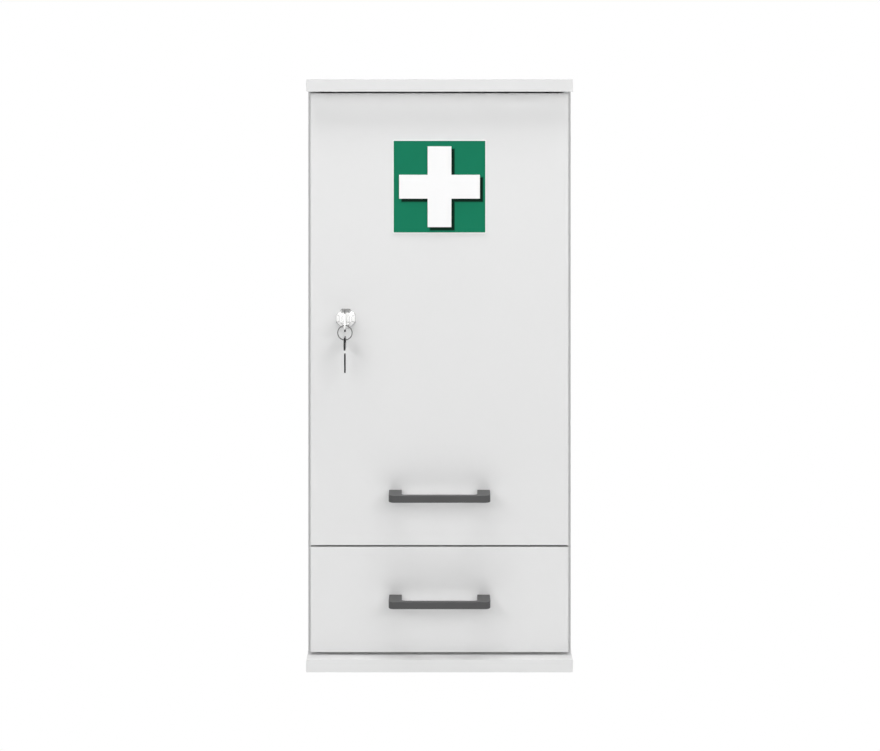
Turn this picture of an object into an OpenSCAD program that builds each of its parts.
// Lockable medicine cabinet: one hinged door over one drawer.
// X runs to the right, Y to the back and Z up; the origin is the bottom centre of the whole part.

/* [Case] */
// Width of the top and bottom boards
case_w = 400; // [340:1:600]
// Height over the top and bottom boards
case_h = 890; // [700:1:1100]
// Depth of the top and bottom boards
case_d = 350; // [320:1:450]
// Thickness of the case boards
board_t = 19; // [16:1:22]
// Thickness of the fixed board between the door and the drawer
middle_t = 16; // [16:1:19]
// Thickness of the back panel
back_t = 3; // [3:0.5:5]
// Depth of the recess behind the back panel
back_recess = 19; // [16:1:25]
// Depth of the grooves that hold the back panel
groove_d = 7; // [5:0.5:9]
// Height of the hanging rail under the top board
rail_h = 90; // [70:1:120]
// Distance between the two wall screws
wall_screw_gap = 240; // [160:1:260]
// Radius of the wall screw holes
wall_screw_r = 4; // [3:0.5:5]

/* [Fronts] */
// Thickness of the door and the drawer front
front_t = 19; // [18:0.5:22]
// How far the top and bottom boards stand out in front of the fronts
overhang = 20; // [10:1:24]
// Gap between the door and the drawer front
reveal = 3; // [2.8:0.1:4]
// Gap between the door and the top board
top_reveal = 2.4; // [2:0.1:4]
// Gap between the drawer front and the bottom board
bottom_reveal = 4.5; // [2.5:0.1:5]
// How far the fronts stay inside the outer faces of the side panels
side_reveal = 5; // [3:0.5:6]
// Space between the back of the fronts and the side panels
front_gap = 2.5; // [2.2:0.1:4]
// Height of the drawer front
drawer_front_h = 159; // [150:0.5:200]
// Radius of the rubber bumpers
bumper_r = 4; // [3:0.5:6]

/* [Shelves] */
// Thickness of the shelves
shelf_t = 16; // [12:1:22]
// How far the shelves stay behind the front edge of the side panels
shelf_setback = 25; // [20:1:40]
// Play at each end of a shelf
shelf_play = 1; // [0.5:0.1:2]
// Pitch of the shelf pin holes
pin_pitch = 32; // [25:1:40]
// Number of pin holes in each row
pin_rows = 12; // [8:1:14]
// Height of the lowest pin hole over the middle board
pin_start = 150; // [100:1:170]
// Pin hole that carries the lower shelf, counted from 0
lower_shelf_hole = 2; // [0:1:3]
// Pin hole that carries the upper shelf, counted from 0
upper_shelf_hole = 8; // [5:1:10]
// Radius of the shelf pins
pin_r = 2.45; // [2:0.05:3]

/* [Joinery] */
// Radius of the wooden dowels
dowel_r = 3.95; // [2.9:0.05:4.2]
// Length of the wooden dowels
dowel_l = 35; // [25:1:40]
// Radius of the cam discs
disc_r = 7.4; // [6:0.1:8]
// Thickness of the cam discs
disc_t = 12.5; // [10:0.5:13.5]
// Distance from a joint to the middle of its cam disc
disc_seat = 24; // [20:1:34]

/* [Pivots] */
// Distance from the pivot axis to the edge of the door
pivot_inset = 5.5; // [5.2:0.1:6]
// Radius of the pivot pins
pivot_r = 2.5; // [2:0.1:2.8]
// Outer radius of the bushes in the door
bush_r = 4; // [3.6:0.1:4.3]
// Length of the bushes in the door
bush_l = 14; // [10:1:20]
// Thickness of the lower pivot plate
pivot_plate_t = 1.6; // [1.2:0.1:2]

/* [Handles] */
// Length of a handle
handle_w = 152; // [145:1:200]
// How far a handle stands out from its front
handle_reach = 38; // [28:1:45]
// Height of the handle section
handle_h = 10.5; // [8:0.5:14]
// Thickness of the grip bar
bar_t = 8; // [6:0.5:10]
// Width of a handle leg
leg_w = 19; // [14:1:22]
// Distance between the handle screws
handle_screw_gap = 128; // [126:1:130]
// Height of the door handle's middle
door_handle_z = 264; // [240:0.5:320]
// Height of the drawer handle's middle
drawer_handle_z = 105.5; // [90:0.5:112]

/* [Sign] */
// Side of the square sign plate
plate_w = 141; // [100:1:180]
// Thickness of the sign plate
plate_t = 2; // [1:0.5:3]
// Distance from the top of the cabinet to the sign's middle
sign_drop = 162.5; // [110:0.5:220]
// Span of the raised cross
cross_w = 122; // [80:1:125]
// Width of the arms of the cross
cross_arm = 36; // [20:1:45]
// Thickness of the cross
cross_t = 3; // [1:0.5:5]

/* [Lock] */
// Distance of the lock from the inner face of the left side panel
lock_inset = 39.5; // [36:0.5:45]
// Height of the lock
lock_z = 528.5; // [400:0.5:600]
// Half the width of the lock's eight-sided head
head_r = 14.5; // [12:0.5:16]
// Half the width of the flat face in the middle of the lock's head
head_face_r = 9.3; // [8.5:0.1:10]
// How far the lock's head stands out
head_t = 7; // [4:0.5:8]
// Radius of the lock's barrel
barrel_r = 9.5; // [8:0.5:10]
// Radius of the turning plug
plug_r = 6; // [5:0.1:6.5]
// Distance from the lock's axis to the tip of the cam
cam_reach = 36; // [30:1:36]
// Thickness of the cam
cam_t = 2; // [1.5:0.1:2.5]

/* [Keys] */
// Thickness of a key
key_t = 2.2; // [1.6:0.1:2.4]
// Length of a key's blade
blade_l = 29; // [20:1:29]
// Height of a key's blade
blade_h = 7.4; // [6:0.1:8]
// Length of a key's bow
bow_l = 20; // [18:1:24]
// Width of a key's bow
bow_w = 35; // [26:1:36]
// Middle radius of the key ring
ring_r = 10.75; // [8:0.25:14]
// Radius of the key ring's wire
wire_r = 0.75; // [0.5:0.05:1]

/* [Drawer] */
// Thickness of the drawer's sides, inner front and back
drawer_t = 12; // [12:1:15]
// Height of the drawer's sides
drawer_h = 100; // [80:1:110]
// Free space between the drawer's box and the back panel
drawer_back_gap = 26; // [10:1:40]
// Thickness of the drawer's bottom
drawer_bottom_t = 4; // [3:0.5:6]
// Height of the drawer's sides over the bottom board
drawer_lift = 21; // [16:1:24]

/* [Runners] */
// How much shorter the runners are than the drawer's box
runner_short = 15; // [10:1:25]
// Height of a runner's outer member
runner_h = 45; // [35:1:46]
// Space that a runner takes beside the drawer
runner_w = 12.7; // [12.5:0.1:14]
// Sheet thickness of the runner members
runner_t = 1.2; // [1:0.1:1.3]

/* [Hidden] */
$fn = 64;

// small fits
fit = 0.05;       // radial clearance of pins, dowels and screws in their holes
slip = 0.3;       // clearance between a moving piece and its neighbour
through = 1;      // how far a cut runs past a face

// case, from front to back
neck_l = 5;
key_gap = 1;                  // from the lock's head to the shoulder of its key
slot_mid = neck_l + 0.7 * bow_l;
ring_reach = head_t + key_gap + slot_mid;
front_reach = max(handle_reach, ring_reach + bow_w / 2);
back_y = (case_d - overhang + front_reach) / 2;
board_front_y = back_y - case_d;
face_y = board_front_y + overhang;
front_back_y = face_y + front_t;
side_front_y = front_back_y + front_gap;
panel_back_y = back_y - back_recess;
panel_front_y = panel_back_y - back_t;
drawer_d = panel_front_y - front_back_y - drawer_back_gap;
runner_l = drawer_d - runner_short;

// case, sideways and upwards
inner_x = case_w / 2 - board_t;
side_mid_x = case_w / 2 - board_t / 2;
front_w = case_w - 2 * side_reveal;
drawer_front_z = board_t + bottom_reveal;
door_z = drawer_front_z + drawer_front_h + reveal;
door_top = case_h - board_t - top_reveal;
gap_z = door_z - reveal / 2;
middle_z = gap_z - middle_t / 2;
middle_top = middle_z + middle_t;
inner_top = case_h - board_t;
rail_z = inner_top - rail_h;
sign_z = case_h - sign_drop;

// joinery
dowel_inset = 30;
disc_inset = 70;
corner_dowels = [side_front_y + dowel_inset, panel_front_y - dowel_inset];
corner_discs = [side_front_y + disc_inset, panel_front_y - disc_inset];
dowel_in_board = 12;
bolt_r = 2.5;
bolt_head_r = 3.4;
bolt_head_l = 3;
disc_hole_d = max(disc_t, board_t / 2 + bolt_head_r) + fit;
bolt_in_board = 11;
drive_d = 3;
drive_w = 9;
drive_t = 1.4;
thin_dowel_r = 3;
middle_dowel_inset = 60;
middle_dowel_ys = [side_front_y + middle_dowel_inset, panel_front_y - dowel_inset];
rail_dowel_gap = 50;
rail_dowel_zs = [rail_z + (rail_h - rail_dowel_gap) / 2, rail_z + (rail_h + rail_dowel_gap) / 2];

// wood screws
wood_screw_r = 1.6;
wood_screw_d = 12;
wood_head_r = 3;
wood_head_t = 1.8;
pilot_d = 13;
short_screw_d = 10;

// shelf pins
pin_front_inset = 30;
pin_back_inset = 40;
pin_rows_y = [side_front_y + shelf_setback + pin_front_inset, panel_front_y - pin_back_inset];
pin_hole_d = 10;
pin_stub = 8;
pin_z0 = middle_top + pin_start;
shelf_y = side_front_y + shelf_setback;
shelf_d = panel_front_y - shelf_play - shelf_y;
shelf_holes = [lower_shelf_hole, upper_shelf_hole];

// pivots
pivot_x = front_w / 2 - pivot_inset;
pivot_y = face_y + front_t / 2;
pin_in_door = 11;
pin_in_board = 12;
bush_proud = reveal / 2 - pivot_plate_t / 2 - slip;
plate_tip_r = 5;
plate_in_board = 30;
plate_span = 44;
plate_screw_inset = 12;
plate_screw_gap = 20;
plate_screw_xs = [inner_x - plate_screw_inset, inner_x - plate_screw_inset - plate_screw_gap];
plate_screw_y = side_front_y + plate_in_board / 2;
plate_screw_l = middle_t - 3;
pin_flange_r = 5;

// bumpers and catch
bumper_t = front_gap - 0.2;
bumper_x = (inner_x + front_w / 2) / 2;
bumper_inset = 20;
catch_drop = 70;
catch_z = door_top - catch_drop;
catch_r = 4.5;
catch_l = 14;
catch_flange_t = 1.4;
keeper_r = 6;
keeper_t = front_gap - catch_flange_t - slip;

// lock
lock_x = lock_inset - inner_x;
barrel_back_y = front_back_y + 6;
nut_t = 4;
nut_af = 26;
cam_y = barrel_back_y + slip;
cam_w = 16;
cam_seat = 3.4;
cam_back_y = cam_y + cam_t;
cam_play = 0.6;              // space between the cam and the screw head behind it
cam_screw_r = 1.5;
cam_screw_in = 4.5;
cam_head_r = 5;
cam_head_t = 2.4;
key_play = 0.1;
strike_t = 2;
strike_y = cam_y - 0.5 - strike_t;
strike_arm = 14;
strike_base = 28;
strike_h = 32;
strike_screw_y = strike_y + strike_base - 8;
strike_screw_gap = 18;
strike_screw_zs = [lock_z - strike_screw_gap / 2, lock_z + strike_screw_gap / 2];

// keys; a key is drawn with its shoulder at 0, its blade towards -X and its bow towards +X
neck_h = 8;
slot_w = 5;
slot_h = 16.4;
key_front_y = face_y - head_t - key_gap;
hang_y = face_y - ring_reach;
hang_z = lock_z - slot_h / 2 + wire_r + 0.2;
ring_low_z = hang_z - 2 * ring_r;
spare_z = ring_low_z + wire_r + 0.2 - slot_mid - slot_w / 2;

// handles
screw_r = 2;
screw_in_leg = 12;
handle_corner_r = 8;
handle_inner_r = 6;
handle_head_r = 4;
handle_head_t = 2.5;

// drawer
drawer_x = inner_x - runner_w;
drawer_z = board_t + drawer_lift;
drawer_groove_d = 5;
drawer_bottom_z = drawer_z + 10;
drawer_inner_w = 2 * (drawer_x - drawer_t);
runner_z = drawer_z + drawer_h / 2;
runner_y = side_front_y + 3;
runner_nest = 0.4;           // space between nested runner members
outer_depth = runner_w - 3.2; // how far the outer member's flanges reach
middle_u0 = runner_t + 0.6;
middle_u1 = runner_w - 2.2;
middle_h = runner_h - 2 * runner_t - 2 * runner_nest;
middle_setback = 5;
middle_cut = 20;             // how much shorter the middle member is
inner_u0 = 4;
inner_h = middle_h - 2 * runner_t - 2 * runner_nest;
inner_setback = 6;
runner_head_r = 2.9;
runner_head_t = 0.8;
outer_screw_inset = 30;
outer_screw_ys = [runner_y + outer_screw_inset, runner_y + runner_l / 2,
  runner_y + runner_l - outer_screw_inset];
inner_screw_inset = 35;
inner_screw_ys = [front_back_y + inner_screw_inset, front_back_y + runner_l / 2,
  front_back_y + runner_l - inner_screw_inset];
box_screw_inset = 8;
box_screw_zs = [drawer_z + box_screw_inset, drawer_z + drawer_h - box_screw_inset];
box_screw_ys = [front_back_y + drawer_t / 2, front_back_y + drawer_d - drawer_t / 2];
box_screw_r = 2;
box_screw_l = 35;
box_head_r = 3.5;
box_head_t = 2.2;
front_screw_gap = 200;
front_screw_xs = [-front_screw_gap / 2, front_screw_gap / 2];
front_screw_drop = 15;
front_screw_z = drawer_z + drawer_h - front_screw_drop;
front_screw_in = 12;
front_head_r = 4;
front_head_t = 2;

// ---------- small shapes ----------

// a box from its lowest corner to its highest
module block(low, high) {
  translate(low) cube(high - low);
}

// a round bar from a point along +Y
module bar_y(x, y, z, r, l) {
  translate([x, y, z]) rotate([-90, 0, 0]) cylinder(h = l, r = r);
}

// a round bar from a point along +X
module bar_x(x, y, z, r, l) {
  translate([x, y, z]) rotate([0, 90, 0]) cylinder(h = l, r = r);
}

// a round bar along X on one side of the cabinet, from a distance of x0 to x1 from its middle
module side_bar(side, x0, x1, y, z, r) {
  bar_x(side > 0 ? x0 : -x1, y, z, r, x1 - x0);
}

// a round bar from a point upwards
module bar_z(x, y, z, r, l) {
  translate([x, y, z]) cylinder(h = l, r = r);
}

// a rectangle with round corners, centred
module round_rect(w, h, r) {
  square([w - 2 * r, h], center = true);
  square([w, h - 2 * r], center = true);
  for (x = [-1, 1], y = [-1, 1]) translate([x * (w / 2 - r), y * (h / 2 - r)]) circle(r = r);
}

// ---------- case joinery ----------

// the drillings of the corner joints; up is 1 for the bottom board and -1 for the top board
module corner_holes(up) {
  joint_z = up > 0 ? board_t : inner_top;
  for (side = [-1, 1]) {
    for (y = corner_dowels) translate([side * side_mid_x, y, joint_z]) scale([1, 1, up]) {
      translate([0, 0, -dowel_in_board - fit]) cylinder(h = dowel_l + 2 * fit, r = dowel_r + fit);
    }
    for (y = corner_discs) translate([side * side_mid_x, y, joint_z]) scale([1, 1, up]) {
      translate([0, 0, -bolt_in_board - fit]) cylinder(h = disc_seat + bolt_in_board, r = bolt_r + fit);
    }
  }
}

module wall_screw_holes() {
  for (side = [-1, 1]) {
    bar_y(side * wall_screw_gap / 2, panel_front_y - through, rail_z + rail_h / 2,
      wall_screw_r, back_y - panel_front_y + 2 * through);
  }
}

// the level dowels of the middle board and the hanging rail; with play they are the drillings
module level_dowels(play) {
  for (side = [-1, 1]) {
    for (y = middle_dowel_ys) {
      side_bar(side, inner_x - dowel_l / 2 - play, inner_x + dowel_l / 2 + play, y, gap_z,
        thin_dowel_r + play);
    }
    for (z = rail_dowel_zs) {
      side_bar(side, inner_x - dowel_l / 2 - play, inner_x + dowel_l / 2 + play,
        back_y - back_recess / 2, z, dowel_r + play);
    }
  }
}

// the grooves for the back panel, in all four boards around it
module back_groove() {
  block([-inner_x - groove_d, panel_front_y, board_t - groove_d],
    [inner_x + groove_d, panel_back_y, inner_top + groove_d]);
}

module top_board() {
  color("white") difference() {
    block([-case_w / 2, board_front_y, inner_top], [case_w / 2, back_y, case_h]);
    corner_holes(-1);
    back_groove();
    bar_z(pivot_x, pivot_y, inner_top - through, pivot_r + fit, pin_in_board + fit + through);
  }
}

module bottom_board() {
  color("white") difference() {
    block([-case_w / 2, board_front_y, 0], [case_w / 2, back_y, board_t]);
    corner_holes(1);
    back_groove();
  }
}

// a side panel; side is -1 for the left one and 1 for the right one
module side_panel(side) {
  color("gainsboro") difference() {
    block([side * side_mid_x - board_t / 2, side_front_y, board_t],
      [side * side_mid_x + board_t / 2, back_y, inner_top]);
    corner_holes(1);
    corner_holes(-1);
    back_groove();
    level_dowels(fit);
    for (y = corner_discs, z = [board_t + disc_seat, inner_top - disc_seat]) {
      side_bar(side, inner_x - through, inner_x + disc_hole_d, y, z, disc_r + fit);
    }
    for (y = pin_rows_y, n = [0 : pin_rows - 1]) {
      side_bar(side, inner_x - through, inner_x + pin_hole_d, y, pin_z0 + n * pin_pitch,
        pin_r + fit);
    }
    for (y = outer_screw_ys) {
      side_bar(side, inner_x - through, inner_x + pilot_d, y, runner_z, wood_screw_r + fit);
    }
    if (side < 0) {
      for (z = strike_screw_zs) {
        side_bar(side, inner_x - through, inner_x + pilot_d, strike_screw_y, z,
          wood_screw_r + fit);
      }
      bar_y(-bumper_x, side_front_y - through, catch_z, catch_r + fit, catch_l + fit + through);
    }
  }
}

module middle_board() {
  color("white") difference() {
    block([-inner_x, side_front_y, middle_z], [inner_x, panel_front_y, middle_top]);
    level_dowels(fit);
    block([inner_x - plate_span - fit, side_front_y - through, gap_z - pivot_plate_t / 2 - fit],
      [inner_x + through, side_front_y + plate_in_board + fit, gap_z + pivot_plate_t / 2 + fit]);
    for (x = plate_screw_xs) {
      bar_z(x, plate_screw_y, middle_z - through, wood_screw_r + fit, plate_screw_l + 2 * through);
      bar_z(x, plate_screw_y, middle_z - through, wood_head_r + 2 * fit,
        wood_head_t + 4 * fit + through);
    }
  }
}

module back_panel() {
  play = 0.2;
  color("whitesmoke") difference() {
    block([-inner_x - groove_d + play, panel_front_y + play / 2, board_t - groove_d + play],
      [inner_x + groove_d - play, panel_back_y - play / 2, inner_top + groove_d - play]);
    wall_screw_holes();
  }
}

module hanging_rail() {
  color("whitesmoke") difference() {
    block([-inner_x, panel_back_y, rail_z], [inner_x, back_y, inner_top]);
    wall_screw_holes();
    level_dowels(fit);
  }
}

module shelf(hole) {
  z = pin_z0 + hole * pin_pitch + pin_r + fit;
  color("white") block([-inner_x + shelf_play, shelf_y, z],
    [inner_x - shelf_play, shelf_y + shelf_d, z + shelf_t]);
}

module shelf_pins() {
  color("silver") for (hole = shelf_holes, y = pin_rows_y, side = [-1, 1]) {
    side_bar(side, inner_x - pin_stub, inner_x + pin_hole_d - fit, y, pin_z0 + hole * pin_pitch,
      pin_r);
  }
}

module dowels() {
  color("burlywood") {
    for (side = [-1, 1], y = corner_dowels) {
      bar_z(side * side_mid_x, y, board_t - dowel_in_board, dowel_r, dowel_l);
      bar_z(side * side_mid_x, y, inner_top + dowel_in_board - dowel_l, dowel_r, dowel_l);
    }
    level_dowels(0);
  }
}

// one cam disc, lying in the inner face of a side panel; up points from the joint into the panel
module cam_disc(side, y, joint_z, up) {
  difference() {
    side_bar(side, inner_x + fit, inner_x + disc_t, y, joint_z + up * disc_seat, disc_r);
    translate([side * side_mid_x, y, joint_z + up * disc_seat]) {
      translate([0, 0, up > 0 ? -2 * disc_r : -bolt_head_l]) {
        cylinder(h = 2 * disc_r + bolt_head_l, r = bolt_head_r + 2 * fit);
      }
    }
    translate([side * (inner_x + 1), y, joint_z + up * disc_seat]) {
      cube([drive_d, drive_t, drive_w], center = true);
      cube([drive_d, drive_w, drive_t], center = true);
    }
  }
}

module cam_discs() {
  color("darkgray") for (side = [-1, 1], y = corner_discs) {
    cam_disc(side, y, board_t, 1);
    cam_disc(side, y, inner_top, -1);
  }
}

module cam_bolt(x, y, joint_z, up) {
  translate([x, y, joint_z]) scale([1, 1, up]) {
    translate([0, 0, -bolt_in_board]) cylinder(h = bolt_in_board + disc_seat - 1, r = bolt_r);
    translate([0, 0, disc_seat - bolt_head_l]) cylinder(h = bolt_head_l, r = bolt_head_r);
  }
}

module cam_bolts() {
  color("goldenrod") for (side = [-1, 1], y = corner_discs) {
    cam_bolt(side * side_mid_x, y, board_t, 1);
    cam_bolt(side * side_mid_x, y, inner_top, -1);
  }
}

// ---------- pivots, catch and strike ----------

module lower_pivot() {
  z = gap_z - pivot_plate_t / 2;
  color("dimgray") {
    difference() {
      union() {
        block([inner_x - plate_span, side_front_y - fit, z],
          [inner_x, side_front_y + plate_in_board, z + pivot_plate_t]);
        block([inner_x - plate_span, pivot_y, z],
          [inner_x, side_front_y, z + pivot_plate_t]);
        block([inner_x - plate_span, pivot_y - plate_tip_r, z],
          [pivot_x, side_front_y - slip, z + pivot_plate_t]);
        bar_z(pivot_x, pivot_y, z, plate_tip_r, pivot_plate_t);
      }
      for (x = plate_screw_xs) {
        bar_z(x, plate_screw_y, z - through, wood_screw_r + fit, pivot_plate_t + 2 * through);
      }
    }
    bar_z(pivot_x, pivot_y, z + pivot_plate_t / 2, pivot_r, pivot_plate_t / 2 + pin_in_door);
  }
}

module lower_pivot_screws() {
  color("silver") for (x = plate_screw_xs) {
    bar_z(x, plate_screw_y, middle_z + 2 * fit, wood_head_r, wood_head_t);
    bar_z(x, plate_screw_y, middle_z + 2 * fit, wood_screw_r, plate_screw_l);
  }
}

module upper_pivot_pin() {
  flange_t = top_reveal - bush_proud - slip;
  color("silver") {
    bar_z(pivot_x, pivot_y, door_top - pin_in_door, pivot_r,
      pin_in_door + top_reveal + pin_in_board);
    bar_z(pivot_x, pivot_y, inner_top - flange_t, pin_flange_r, flange_t);
  }
}

module strike_bracket() {
  color("silver") difference() {
    union() {
      block([-inner_x, strike_y, lock_z - strike_h / 2],
        [-inner_x + strike_arm, strike_y + strike_t, lock_z + strike_h / 2]);
      block([-inner_x, strike_y, lock_z - strike_h / 2],
        [-inner_x + strike_t, strike_y + strike_base, lock_z + strike_h / 2]);
    }
    for (z = strike_screw_zs) {
      side_bar(-1, inner_x - strike_t - through, inner_x + through, strike_screw_y, z,
        wood_screw_r + fit);
    }
  }
}

module strike_screws() {
  color("silver") for (z = strike_screw_zs) {
    side_bar(-1, inner_x - strike_t - wood_head_t / 2, inner_x + wood_screw_d, strike_screw_y, z,
      wood_screw_r);
    side_bar(-1, inner_x - strike_t - wood_head_t, inner_x - strike_t, strike_screw_y, z,
      wood_head_r);
  }
}

module magnet_catch() {
  color("white") {
    bar_y(-bumper_x, side_front_y - catch_flange_t, catch_z, catch_r, catch_l + catch_flange_t);
    bar_y(-bumper_x, side_front_y - catch_flange_t, catch_z, catch_r + 1, catch_flange_t);
  }
}

module catch_plate() {
  color("silver") bar_y(-bumper_x, front_back_y, catch_z, keeper_r, keeper_t);
}

// ---------- runners ----------

// a C section along Y; its web stands at u0, its flanges reach to u1, u grows from the side panel
module channel(side, y, l, u0, u1, h, t, web_inside) {
  x0 = side > 0 ? inner_x - u1 : -inner_x + u0;
  web = web_inside ? (side > 0 ? inner_x - u1 : -inner_x + u1 - t)
    : (side > 0 ? inner_x - u0 - t : -inner_x + u0);
  block([web, y, runner_z - h / 2], [web + t, y + l, runner_z + h / 2]);
  for (z = [runner_z - h / 2, runner_z + h / 2 - t]) {
    block([x0, y, z], [x0 + u1 - u0, y + l, z + t]);
  }
}

module runner_outer(side) {
  color("silver") difference() {
    channel(side, runner_y, runner_l, 0, outer_depth, runner_h, runner_t, false);
    for (y = outer_screw_ys) {
      side_bar(side, inner_x - runner_t - through, inner_x + through, y, runner_z,
        runner_head_r + fit);
    }
  }
}

module runner_middle(side) {
  color("gray") channel(side, runner_y + middle_setback, runner_l - middle_cut, middle_u0,
    middle_u1, middle_h, runner_t, false);
}

module runner_inner(side) {
  color("silver") difference() {
    channel(side, front_back_y + inner_setback, runner_l - inner_setback, inner_u0, runner_w,
      inner_h, runner_t, true);
    for (y = inner_screw_ys) {
      side_bar(side, drawer_x - through, drawer_x + runner_t + through, y, runner_z,
        runner_head_r + fit);
    }
  }
}

module runner_outer_screws() {
  play = (runner_t - runner_head_t) / 2;
  color("dimgray") for (side = [-1, 1], y = outer_screw_ys) {
    side_bar(side, inner_x - runner_t + play, inner_x - play, y, runner_z, runner_head_r);
    side_bar(side, inner_x - runner_t / 2, inner_x + wood_screw_d, y, runner_z, wood_screw_r);
  }
}

module runner_inner_screws() {
  play = (runner_t - runner_head_t) / 2;
  color("dimgray") for (side = [-1, 1], y = inner_screw_ys) {
    side_bar(side, drawer_x + play, drawer_x + runner_t - play, y, runner_z, runner_head_r);
    side_bar(side, drawer_x - short_screw_d, drawer_x + runner_t / 2, y, runner_z, wood_screw_r);
  }
}

// ---------- door ----------

// the two screws of a handle; back_y0 is the face that their heads sit on
module handle_screws(z, back_y0) {
  color("silver") for (side = [-1, 1]) {
    bar_y(side * handle_screw_gap / 2, face_y - screw_in_leg, z, screw_r,
      back_y0 - face_y + screw_in_leg + handle_head_t / 2);
    bar_y(side * handle_screw_gap / 2, back_y0, z, handle_head_r, handle_head_t);
  }
}

module handle_screw_holes(z) {
  for (side = [-1, 1]) {
    bar_y(side * handle_screw_gap / 2, face_y - through, z, screw_r + 2 * fit,
      front_t + drawer_t + 2 * through);
  }
}

// a bow handle; its outline lies in a level plane
module bow_handle(z) {
  inner_w = handle_w - 2 * leg_w;
  grip_d = handle_reach - bar_t;
  color("dimgray") translate([0, face_y, z - handle_h / 2]) difference() {
    linear_extrude(handle_h) mirror([0, 1]) difference() {
      union() {
        translate([-handle_w / 2, 0]) square([handle_w, handle_reach - handle_corner_r]);
        translate([-handle_w / 2 + handle_corner_r, 0]) {
          square([handle_w - 2 * handle_corner_r, handle_reach]);
        }
        for (side = [-1, 1]) {
          translate([side * (handle_w / 2 - handle_corner_r), handle_reach - handle_corner_r]) {
            circle(r = handle_corner_r);
          }
        }
      }
      translate([-inner_w / 2, -through]) {
        square([inner_w, grip_d - handle_inner_r + through]);
      }
      translate([-inner_w / 2 + handle_inner_r, -through]) {
        square([inner_w - 2 * handle_inner_r, grip_d + through]);
      }
      for (side = [-1, 1]) {
        translate([side * (inner_w / 2 - handle_inner_r), grip_d - handle_inner_r]) {
          circle(r = handle_inner_r);
        }
      }
    }
    for (side = [-1, 1]) {
      bar_y(side * handle_screw_gap / 2, -screw_in_leg - through, handle_h / 2, screw_r + fit,
        screw_in_leg + 2 * through);
    }
  }
}

module door_panel() {
  color("white") difference() {
    block([-front_w / 2, face_y, door_z], [front_w / 2, front_back_y, door_top]);
    bar_y(lock_x, face_y - through, lock_z, barrel_r + 0.2, front_t + 2 * through);
    handle_screw_holes(door_handle_z);
    bar_z(pivot_x, pivot_y, door_z - through, bush_r + fit, bush_l + through);
    bar_z(pivot_x, pivot_y, door_top - bush_l, bush_r + fit, bush_l + through);
  }
}

module bush(z) {
  translate([pivot_x, pivot_y, z]) difference() {
    cylinder(h = bush_l + bush_proud - fit, r = bush_r);
    translate([0, 0, -through]) cylinder(h = bush_l + 3 * through, r = pivot_r + fit);
  }
}

module door_bushes() {
  color("ivory") {
    bush(door_z - bush_proud);
    bush(door_top - bush_l + fit);
  }
}

module bumpers(points) {
  color("lightgray") for (p = points) bar_y(p[0], front_back_y, p[1], bumper_r, bumper_t);
}

module sign_plate() {
  color("seagreen") translate([0, face_y, sign_z]) rotate([90, 0, 0]) {
    linear_extrude(plate_t) round_rect(plate_w, plate_w, 1);
  }
}

module sign_cross() {
  color("white") translate([0, face_y - plate_t, sign_z]) rotate([90, 0, 0]) {
    linear_extrude(cross_t) {
      square([cross_w, cross_arm], center = true);
      square([cross_arm, cross_w], center = true);
    }
  }
}

// ---------- lock ----------

// the eight-sided head of the lock, standing up from 0, with a sloping rim
module lock_head() {
  rim_t = 2.5;
  sides = 8;
  slope = atan((head_r - head_face_r) / (head_t - rim_t));
  difference() {
    rotate([0, 0, 180 / sides]) cylinder(h = head_t, r = head_r / cos(180 / sides), $fn = sides);
    for (n = [1 : sides]) rotate([0, 0, n * 360 / sides]) translate([head_r, -head_r, rim_t]) {
      rotate([0, -slope, 0]) cube([head_r, 2 * head_r, 2 * head_t]);
    }
  }
}

module lock_housing() {
  color("silver") difference() {
    union() {
      translate([lock_x, face_y, lock_z]) rotate([90, 0, 0]) lock_head();
      bar_y(lock_x, face_y - fit, lock_z, barrel_r, barrel_back_y - face_y + fit);
    }
    bar_y(lock_x, face_y - head_t - through, lock_z, plug_r + fit,
      barrel_back_y - face_y + head_t + 2 * through);
  }
}

module lock_nut() {
  color("silver") translate([lock_x, front_back_y + nut_t, lock_z]) rotate([90, 0, 0]) {
    difference() {
      cylinder(h = nut_t, r = nut_af / sqrt(3), $fn = 6);
      translate([0, 0, -through]) cylinder(h = nut_t + 2 * through, r = barrel_r + fit);
    }
  }
}

module lock_plug() {
  proud = 0.2;
  key_half_t = key_t / 2 + key_play;
  key_half_h = blade_h / 2 + key_play;
  color("gainsboro") difference() {
    union() {
      bar_y(lock_x, face_y - head_t - proud, lock_z, plug_r,
        barrel_back_y - face_y + head_t + 2 * proud);
      bar_y(lock_x, barrel_back_y, lock_z, cam_seat, cam_back_y + cam_play - barrel_back_y);
    }
    block([lock_x - key_half_t, face_y - head_t - through, lock_z - key_half_h],
      [lock_x + key_half_t, key_front_y + blade_l + slip, lock_z + key_half_h]);
    bar_y(lock_x, cam_back_y - cam_screw_in - fit, lock_z, cam_screw_r + fit, 2 * cam_screw_in);
  }
}

module lock_cam() {
  color("silver") translate([lock_x, cam_y, lock_z]) difference() {
    rotate([-90, 0, 0]) linear_extrude(cam_t) difference() {
      union() {
        circle(r = cam_w / 2);
        translate([-cam_w / 2, 0]) square([cam_w, cam_reach]);
      }
      circle(r = cam_seat + fit);
    }
  }
}

module lock_cam_screw() {
  color("silver") {
    bar_y(lock_x, cam_back_y + cam_play, lock_z, cam_head_r, cam_head_t);
    bar_y(lock_x, cam_back_y - cam_screw_in, lock_z, cam_screw_r,
      cam_screw_in + cam_play + cam_head_t / 2);
  }
}

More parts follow.
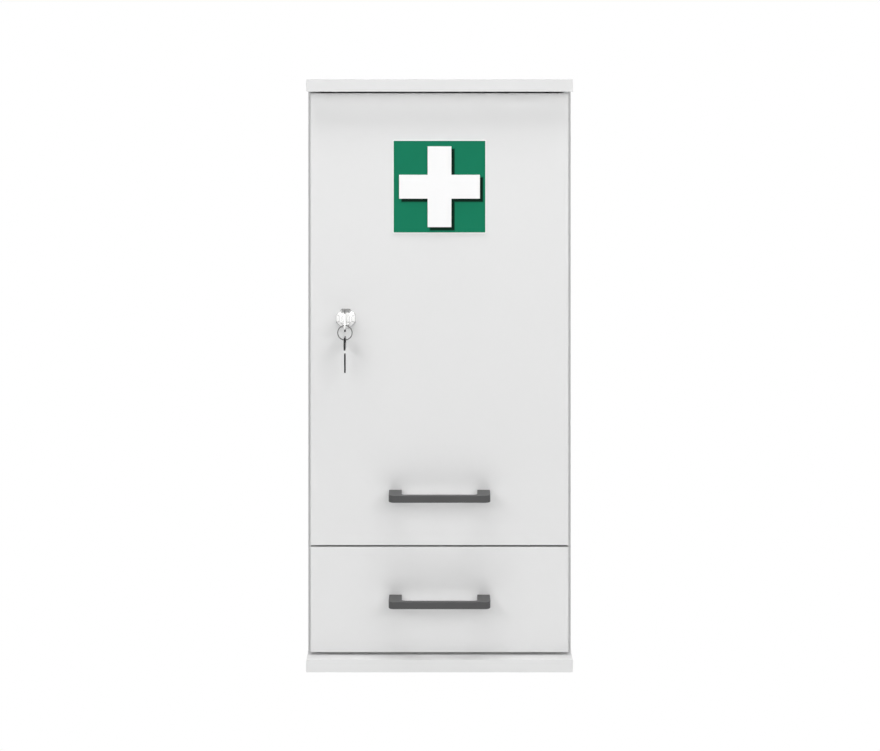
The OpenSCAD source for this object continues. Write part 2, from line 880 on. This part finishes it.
// a flat key in the X-Y plane: shoulder at 0, blade towards -X, bow towards +X
module key_shape() {
  bow_r = bow_l / 2;
  linear_extrude(key_t) difference() {
    union() {
      polygon([
        [0.5, blade_h / 2], [-blade_l + 3, blade_h / 2], [-blade_l, 0], [-blade_l + 2, -2.2],
        [-blade_l + 5, -1.2], [-blade_l + 7, -2.8], [-blade_l + 10, -1.6], [-blade_l + 13, -3],
        [-blade_l + 15, -1.8], [-blade_l + 18, -blade_h / 2], [0.5, -blade_h / 2]
      ]);
      translate([0, -neck_h / 2]) square([neck_l + 3, neck_h]);
      for (side = [-1, 1]) {
        translate([neck_l + bow_r, side * (bow_w / 2 - bow_r)]) circle(r = bow_r);
      }
      translate([neck_l, -bow_w / 2 + bow_r]) square([bow_l, bow_w - 2 * bow_r]);
    }
    translate([slot_mid, 0]) round_rect(slot_w, slot_h, slot_w / 2 - 0.1);
  }
}

module lock_key() {
  color("silver") translate([lock_x - key_t / 2, key_front_y, lock_z]) {
    rotate([90, 0, -90]) translate([0, 0, -key_t]) key_shape();
  }
}

module key_ring() {
  color("silver") translate([lock_x, hang_y, hang_z - ring_r]) rotate([90, 0, 0]) {
    rotate_extrude() translate([ring_r, 0]) circle(r = wire_r);
  }
}

module spare_key() {
  color("silver") translate([lock_x + key_t / 2, hang_y, spare_z]) {
    rotate([0, -90, 0]) key_shape();
  }
}

// ---------- drawer ----------

module drawer_front() {
  color("white") difference() {
    block([-front_w / 2, face_y, drawer_front_z],
      [front_w / 2, front_back_y, drawer_front_z + drawer_front_h]);
    handle_screw_holes(drawer_handle_z);
    front_screw_holes();
  }
}

module front_screw_holes() {
  for (x = front_screw_xs) {
    bar_y(x, front_back_y - front_screw_in - slip, front_screw_z, box_screw_r + fit,
      front_screw_in + slip + drawer_t + through);
  }
}

module drawer_inner_front() {
  color("whitesmoke") difference() {
    block([-drawer_inner_w / 2, front_back_y, drawer_z],
      [drawer_inner_w / 2, front_back_y + drawer_t, drawer_z + drawer_h]);
    handle_screw_holes(drawer_handle_z);
    front_screw_holes();
    box_screw_holes();
    drawer_groove();
  }
}

module box_screw_holes() {
  for (side = [-1, 1], y = box_screw_ys, z = box_screw_zs) {
    side_bar(side, drawer_x - box_screw_l, drawer_x + through, y, z, box_screw_r + fit);
    side_bar(side, drawer_x - box_head_t - 4 * fit, drawer_x + through, y, z, box_head_r + fit);
  }
}

module drawer_groove() {
  block([-drawer_x + drawer_t - drawer_groove_d, front_back_y + drawer_t - drawer_groove_d,
      drawer_bottom_z],
    [drawer_x - drawer_t + drawer_groove_d, front_back_y + drawer_d - drawer_t + drawer_groove_d,
      drawer_bottom_z + drawer_bottom_t]);
}

module drawer_side(side) {
  color("whitesmoke") difference() {
    block([side > 0 ? drawer_x - drawer_t : -drawer_x, front_back_y, drawer_z],
      [side > 0 ? drawer_x : -drawer_x + drawer_t, front_back_y + drawer_d, drawer_z + drawer_h]);
    box_screw_holes();
    drawer_groove();
    for (y = inner_screw_ys) {
      side_bar(side, drawer_x - short_screw_d - 2 * slip, drawer_x + through, y, runner_z,
        wood_screw_r + fit);
    }
  }
}

module drawer_back() {
  color("whitesmoke") difference() {
    block([-drawer_inner_w / 2, front_back_y + drawer_d - drawer_t, drawer_z],
      [drawer_inner_w / 2, front_back_y + drawer_d, drawer_z + drawer_h]);
    box_screw_holes();
    drawer_groove();
  }
}

module drawer_bottom() {
  play = 0.2;
  color("white") block(
    [-drawer_x + drawer_t - drawer_groove_d + play,
      front_back_y + drawer_t - drawer_groove_d + play, drawer_bottom_z + play / 2],
    [drawer_x - drawer_t + drawer_groove_d - play,
      front_back_y + drawer_d - drawer_t + drawer_groove_d - play,
      drawer_bottom_z + drawer_bottom_t - play / 2]);
}

module drawer_box_screws() {
  color("silver") for (side = [-1, 1], y = box_screw_ys, z = box_screw_zs) {
    side_bar(side, drawer_x - box_screw_l + slip, drawer_x - 2 * fit, y, z, box_screw_r);
    side_bar(side, drawer_x - box_head_t - 2 * fit, drawer_x - 2 * fit, y, z, box_head_r);
  }
}

module drawer_front_screws() {
  color("silver") for (x = front_screw_xs) {
    bar_y(x, front_back_y - front_screw_in, front_screw_z, box_screw_r,
      front_screw_in + drawer_t + front_head_t / 2);
    bar_y(x, front_back_y + drawer_t, front_screw_z, front_head_r, front_head_t);
  }
}

// ---------- the nodes ----------

top_board();
bottom_board();
side_panel(-1);  // side_panel_left
side_panel(1);  // side_panel_right
middle_board();
back_panel();
hanging_rail();
shelf(lower_shelf_hole);  // shelf_lower
shelf(upper_shelf_hole);  // shelf_upper
shelf_pins();
dowels();
cam_discs();
cam_bolts();
lower_pivot();
lower_pivot_screws();
upper_pivot_pin();
strike_bracket();
strike_screws();
magnet_catch();
runner_outer(-1);  // runner_outer_left
runner_outer(1);  // runner_outer_right
runner_outer_screws();
runner_middle(-1);  // runner_middle_left
runner_middle(1);  // runner_middle_right
runner_inner(-1);  // runner_inner_left
runner_inner(1);  // runner_inner_right
runner_inner_screws();
door_panel();
door_bushes();
union() {  // door_bumpers
  bumpers([[-bumper_x, door_z + bumper_inset], [-bumper_x, door_top - bumper_inset]]);
}
catch_plate();
sign_plate();
sign_cross();
bow_handle(door_handle_z);  // door_handle
handle_screws(door_handle_z, front_back_y);  // door_handle_screws
lock_housing();
lock_nut();
lock_plug();
lock_cam();
lock_cam_screw();
lock_key();
key_ring();
spare_key();
drawer_front();
drawer_inner_front();
drawer_side(-1);  // drawer_side_left
drawer_side(1);  // drawer_side_right
drawer_back();
drawer_bottom();
drawer_box_screws();
drawer_front_screws();
union() {  // drawer_bumpers
  bumpers([for (side = [-1, 1]) [side * bumper_x, drawer_front_z + drawer_front_h - bumper_inset]]);
}
bow_handle(drawer_handle_z);  // drawer_handle
union() {  // drawer_handle_screws
  handle_screws(drawer_handle_z, front_back_y + drawer_t);
}
